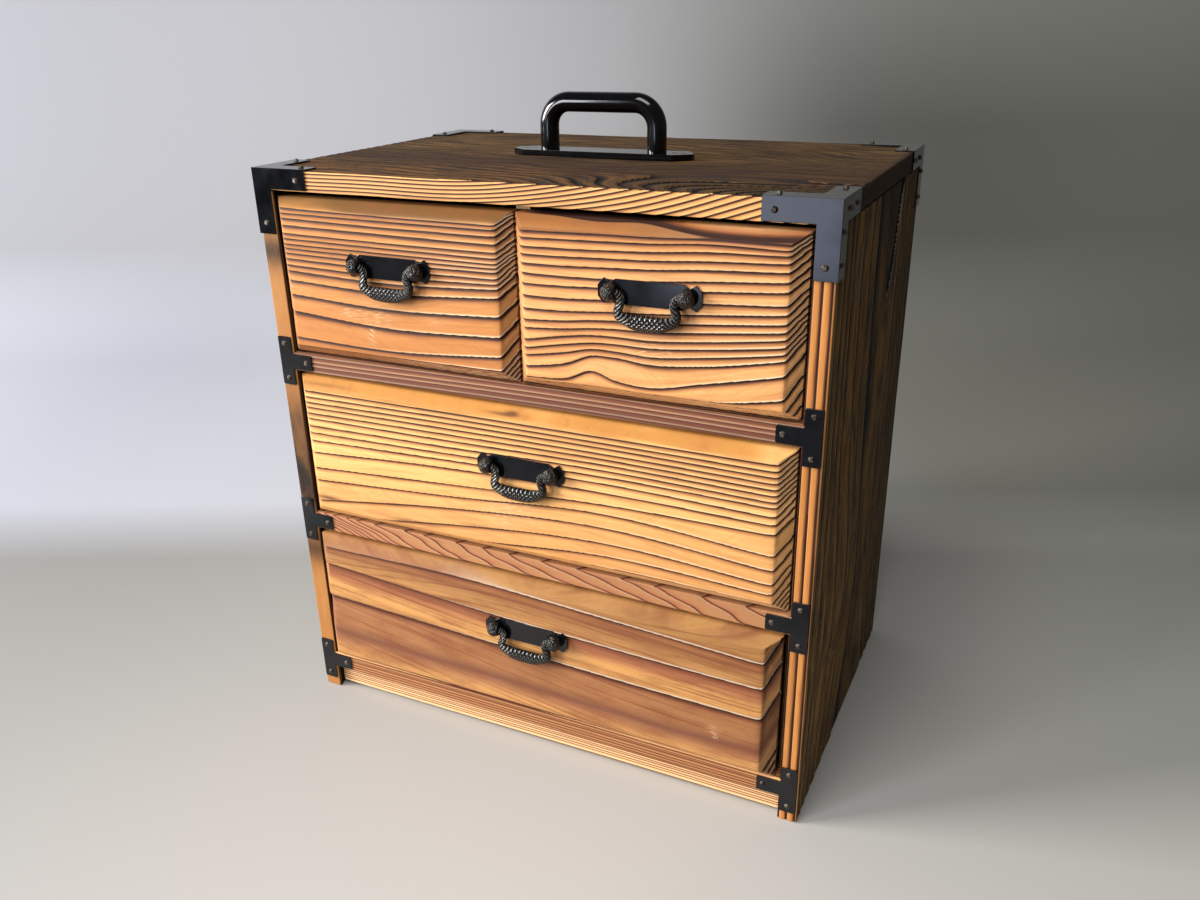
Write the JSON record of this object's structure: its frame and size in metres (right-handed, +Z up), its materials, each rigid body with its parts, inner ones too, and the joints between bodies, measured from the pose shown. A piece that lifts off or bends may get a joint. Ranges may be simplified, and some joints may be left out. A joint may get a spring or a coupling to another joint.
{
  "type": "small tansu chest",
  "caption": "Tabletop wooden chest of drawers with iron corner straps and tee plates, drop-handle drawers that slide out, and a bar carry handle on top.",
  "frame": {"origin": "On the floor, at the middle of the rectangle that the whole chest covers, straps and pulls included", "axes": "+Z up, the drawers face -Y, +X is the right as the front is looked at from -Y"},
  "size_m": [0.4048, 0.2818, 0.4616],
  "materials": {
    "frame_cedar": "satin",
    "front_cedar": "satin",
    "inner_cedar": "matte",
    "strap_iron": "satin",
    "cast_iron": "satin",
    "black_enamel": "gloss",
    "nail_iron": "satin",
    "screw_steel": "satin"
  },
  "bodies": {
    "carcass": {"top_board": "frame_cedar", "left_side": "frame_cedar", "right_side": "frame_cedar", "base_rail": "frame_cedar", "lower_rail": "frame_cedar", "upper_rail": "frame_cedar", "kick_board": "frame_cedar", "bottom_board": "inner_cedar", "lower_shelf": "inner_cedar", "upper_shelf": "inner_cedar", "back_panel": "inner_cedar", "divider": "inner_cedar", "front_left_corner_strap": "strap_iron", "front_right_corner_strap": "strap_iron", "back_left_corner_strap": "strap_iron", "back_right_corner_strap": "strap_iron", "upper_left_tee_plate": "strap_iron", "upper_right_tee_plate": "strap_iron", "middle_left_tee_plate": "strap_iron", "middle_right_tee_plate": "strap_iron", "lowest_left_tee_plate": "strap_iron", "lowest_right_tee_plate": "strap_iron", "corner_nails": "nail_iron", "tee_nails": "nail_iron", "handle_base": "black_enamel", "handle_screws": "screw_steel", "carry_handle": "black_enamel"},
    "upper_left_drawer": {"upper_left_drawer_front": "front_cedar", "upper_left_drawer_left_side": "inner_cedar", "upper_left_drawer_right_side": "inner_cedar", "upper_left_drawer_back": "inner_cedar", "upper_left_drawer_bottom": "inner_cedar", "upper_left_pull_plate": "cast_iron", "upper_left_pull_posts": "cast_iron"},
    "upper_left_handle": {"upper_left_bail": "cast_iron"},
    "upper_right_drawer": {"upper_right_drawer_front": "front_cedar", "upper_right_drawer_left_side": "inner_cedar", "upper_right_drawer_right_side": "inner_cedar", "upper_right_drawer_back": "inner_cedar", "upper_right_drawer_bottom": "inner_cedar", "upper_right_pull_plate": "cast_iron", "upper_right_pull_posts": "cast_iron"},
    "upper_right_handle": {"upper_right_bail": "cast_iron"},
    "middle_drawer": {"middle_drawer_front": "front_cedar", "middle_drawer_left_side": "inner_cedar", "middle_drawer_right_side": "inner_cedar", "middle_drawer_back": "inner_cedar", "middle_drawer_bottom": "inner_cedar", "middle_pull_plate": "cast_iron", "middle_pull_posts": "cast_iron"},
    "middle_handle": {"middle_bail": "cast_iron"},
    "lowest_drawer": {"lowest_drawer_front": "front_cedar", "lowest_drawer_left_side": "inner_cedar", "lowest_drawer_right_side": "inner_cedar", "lowest_drawer_back": "inner_cedar", "lowest_drawer_bottom": "inner_cedar", "lowest_pull_plate": "cast_iron", "lowest_pull_posts": "cast_iron"},
    "lowest_handle": {"lowest_bail": "cast_iron"}
  },
  "joints": [
    {"name": "upper_left_drawer_slide", "type": "slide", "parent": "carcass", "child": "upper_left_drawer", "axis": [0, -1, 0], "range_m": [0, 0.19]},
    {"name": "upper_left_bail_hinge", "type": "hinge", "parent": "upper_left_drawer", "child": "upper_left_handle", "pos_m": [-0.09275, -0.13195, 0.3596], "axis": [-1, 0, 0], "range_deg": [0, 120]},
    {"name": "upper_right_drawer_slide", "type": "slide", "parent": "carcass", "child": "upper_right_drawer", "axis": [0, -1, 0], "range_m": [0, 0.19]},
    {"name": "upper_right_bail_hinge", "type": "hinge", "parent": "upper_right_drawer", "child": "upper_right_handle", "pos_m": [0.09275, -0.13195, 0.3596], "axis": [-1, 0, 0], "range_deg": [0, 120]},
    {"name": "middle_drawer_slide", "type": "slide", "parent": "carcass", "child": "middle_drawer", "axis": [0, -1, 0], "range_m": [0, 0.19]},
    {"name": "middle_bail_hinge", "type": "hinge", "parent": "middle_drawer", "child": "middle_handle", "pos_m": [0, -0.13195, 0.2318], "axis": [-1, 0, 0], "range_deg": [0, 120]},
    {"name": "lowest_drawer_slide", "type": "slide", "parent": "carcass", "child": "lowest_drawer", "axis": [0, -1, 0], "range_m": [0, 0.19]},
    {"name": "lowest_bail_hinge", "type": "hinge", "parent": "lowest_drawer", "child": "lowest_handle", "pos_m": [0, -0.13545, 0.105], "axis": [-1, 0, 0], "range_deg": [0, 120]}
  ]
}
